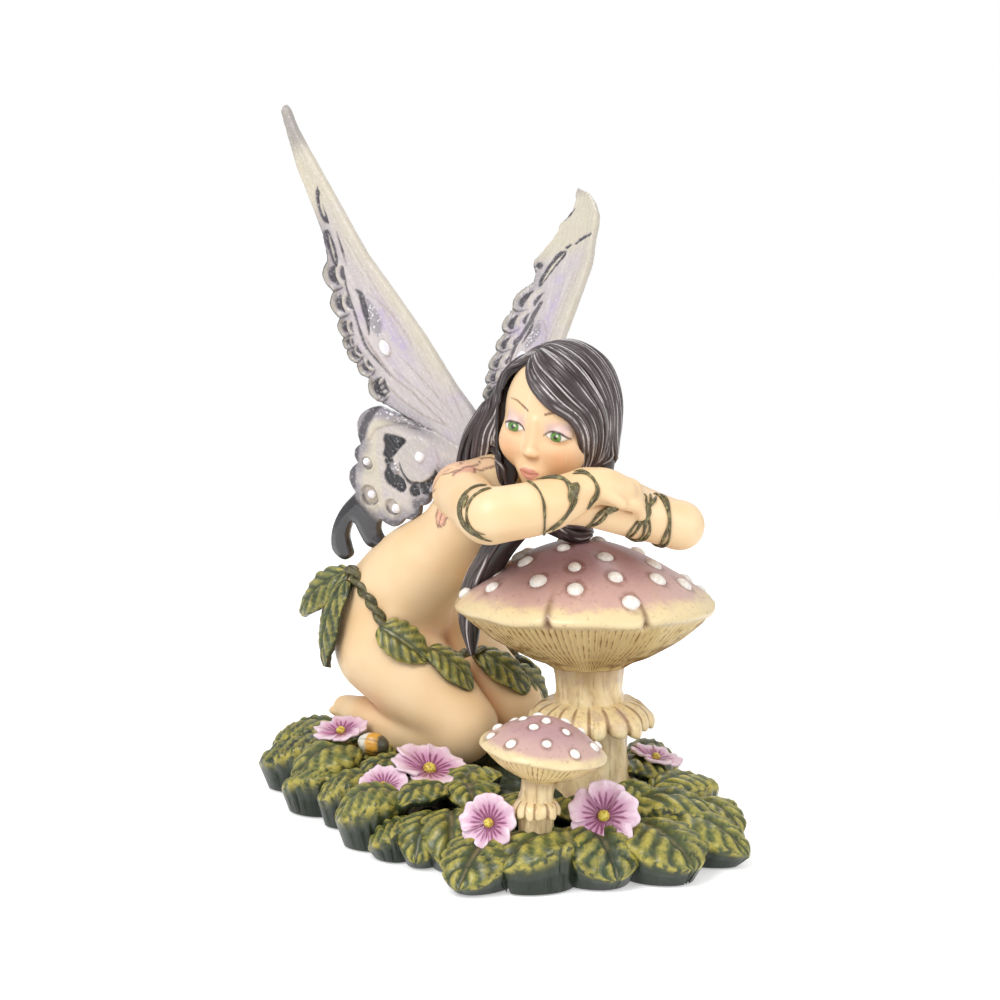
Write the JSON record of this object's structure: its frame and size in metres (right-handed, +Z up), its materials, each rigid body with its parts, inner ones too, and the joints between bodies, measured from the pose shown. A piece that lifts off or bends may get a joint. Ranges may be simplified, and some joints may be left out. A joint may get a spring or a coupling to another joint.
{
  "type": "figurine",
  "caption": "Winged fairy figurine kneeling on a bed of leaves and flowers, leaning with folded arms on a spotted toadstool.",
  "frame": {"origin": "On the flat underside of the leaf bed, near its middle, below the figure's elbow", "axes": "+Z up, -Y towards the side with the small toadstool, +X towards the large toadstool and away from the wings"},
  "size_m": [0.1151, 0.1519, 0.1679],
  "materials": {
    "painted_resin": "hand-painted, satin, in skin, dark hair, plum, cream, green and pink",
    "pearl_wing": "pearly grey-cream with black scalloped edges and lilac tint",
    "clear_stone": "polished, milky"
  },
  "bodies": {
    "root": {"figurine_casting": "painted_resin", "near_wing": "pearl_wing", "far_wing": "pearl_wing", "near_upper_stone": "clear_stone", "near_lower_stone": "clear_stone", "near_edge_stone_1": "clear_stone", "near_edge_stone_2": "clear_stone", "near_edge_stone_3": "clear_stone", "far_upper_stone": "clear_stone"}
  },
  "joints": []
}
